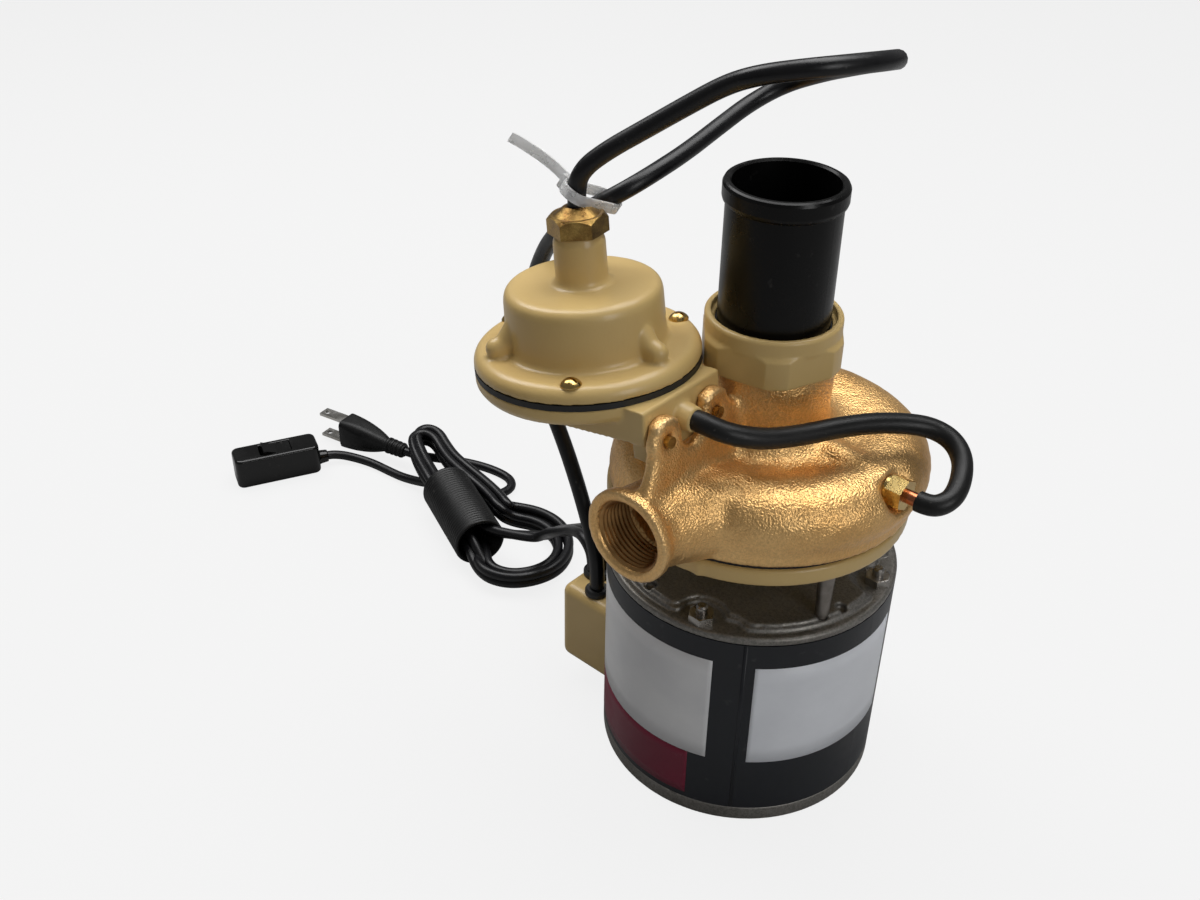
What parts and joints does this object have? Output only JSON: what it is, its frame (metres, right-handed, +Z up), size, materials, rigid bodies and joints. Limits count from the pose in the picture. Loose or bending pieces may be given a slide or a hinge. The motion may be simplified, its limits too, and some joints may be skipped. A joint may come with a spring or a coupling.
{
  "type": "laundry tray pump",
  "caption": "Upright drain pump: an open-bottomed motor under a bronze volute, with a drain tailpiece on top, a side discharge and a diaphragm pressure switch that starts it.",
  "frame": {"origin": "middle of the motor's flat bottom", "axes": "+Z up along the motor shaft and the inlet, -Y out of the discharge, +X out of the air fitting"},
  "size_m": [0.3717, 0.142, 0.2814],
  "materials": {
    "motor_paint": "satin charcoal enamel on rolled steel",
    "cast_aluminium": "raw sand casting, dull and dark",
    "bronze": "raw sand-cast bronze",
    "tan_paint": "smooth tan enamel, thick at the edges",
    "brass": "machined",
    "bearing_bronze": "sintered",
    "copper": "drawn, slightly tarnished",
    "steel": "zinc plated",
    "core_steel": "stacked sheets",
    "cage_aluminium": "die cast",
    "winding": "varnished copper wire",
    "black_tube": "smooth extruded",
    "rubber": "matt",
    "cable": "semi-gloss jacket",
    "nylon": "milky",
    "phenolic": "moulded",
    "seal_carbon": "lapped",
    "black_plastic": "moulded, fine texture"
  },
  "bodies": {
    "root": {"motor_shell": "motor_paint", "bottom_end_bell": "cast_aluminium", "top_end_bell": "cast_aluminium", "stator_core": "core_steel", "stator_windings": "winding", "lower_bearing": "bearing_bronze", "upper_bearing": "bearing_bronze", "thrust_washer": "steel", "back_plate": "tan_paint", "casing_gasket": "rubber", "seal_seat": "nylon", "volute_casing": "bronze", "slip_nut": "tan_paint", "slip_washer": "rubber", "air_fitting": "brass", "copper_tube": "copper", "vent_hose": "rubber", "switch_base": "tan_paint", "diaphragm": "rubber", "switch_spring": "steel", "snap_bracket": "steel", "snap_switch": "phenolic", "switch_cover": "tan_paint", "gland_nut": "brass", "switch_lead": "cable", "zip_tie": "nylon", "motor_box": "tan_paint", "lead_bushing": "black_plastic", "mains_bushing": "black_plastic", "plug_cord_near": "cable", "plug_cord_far": "cable", "switch_cord_near": "cable", "switch_cord_far": "cable", "cord_hank": "cable", "plug": "black_plastic", "rocker_box": "black_plastic", "through_bolt_1": "steel", "post_1": "steel", "through_bolt_2": "steel", "post_2": "steel", "through_bolt_3": "steel", "post_3": "steel", "through_bolt_4": "steel", "post_4": "steel", "cover_screw_1": "brass", "cover_screw_2": "brass", "cover_screw_3": "brass", "base_screw_1": "brass", "base_screw_2": "brass"},
    "rotor": {"shaft": "steel", "rotor_core": "core_steel", "rotor_cage": "cage_aluminium", "slinger": "rubber", "seal_head": "seal_carbon", "impeller": "bronze", "impeller_nut": "brass"},
    "plate": {"diaphragm_plate": "cage_aluminium"},
    "button": {"snap_button": "black_plastic"},
    "tailpiece": {"inlet_tube": "black_tube"},
    "rocker": {"rocker": "black_plastic"}
  },
  "joints": [
    {"name": "rotor_spin", "type": "hinge", "parent": "root", "child": "rotor", "pos_m": [0, 0, 0.06], "axis": [0, 0, 1], "continuous": true},
    {"name": "plate_lift", "type": "slide", "parent": "root", "child": "plate", "axis": [-0.1097, 0, 0.994], "range_m": [0, 0.002], "stiffness_N_per_m": 300, "springref_m": -0.003, "deforming": ["switch_spring", "diaphragm"]},
    {"name": "button_push", "type": "slide", "parent": "root", "child": "button", "axis": [-0.1097, 0, 0.994], "range_m": [0, 0.002], "stiffness_N_per_m": 120, "springref_m": -0.002},
    {"name": "inlet_slide", "type": "slide", "parent": "root", "child": "tailpiece", "axis": [0, 0, 1], "range_m": [0, 0.012]},
    {"name": "rocker_tilt", "type": "hinge", "parent": "root", "child": "rocker", "pos_m": [-0.282, -0.021, 0.0131], "axis": [0.9063, -0.4226, 0], "range_deg": [0, 18]}
  ],
  "couplings": [
    {"joint": "button_push", "follows": "plate_lift", "ratio": 1}
  ]
}
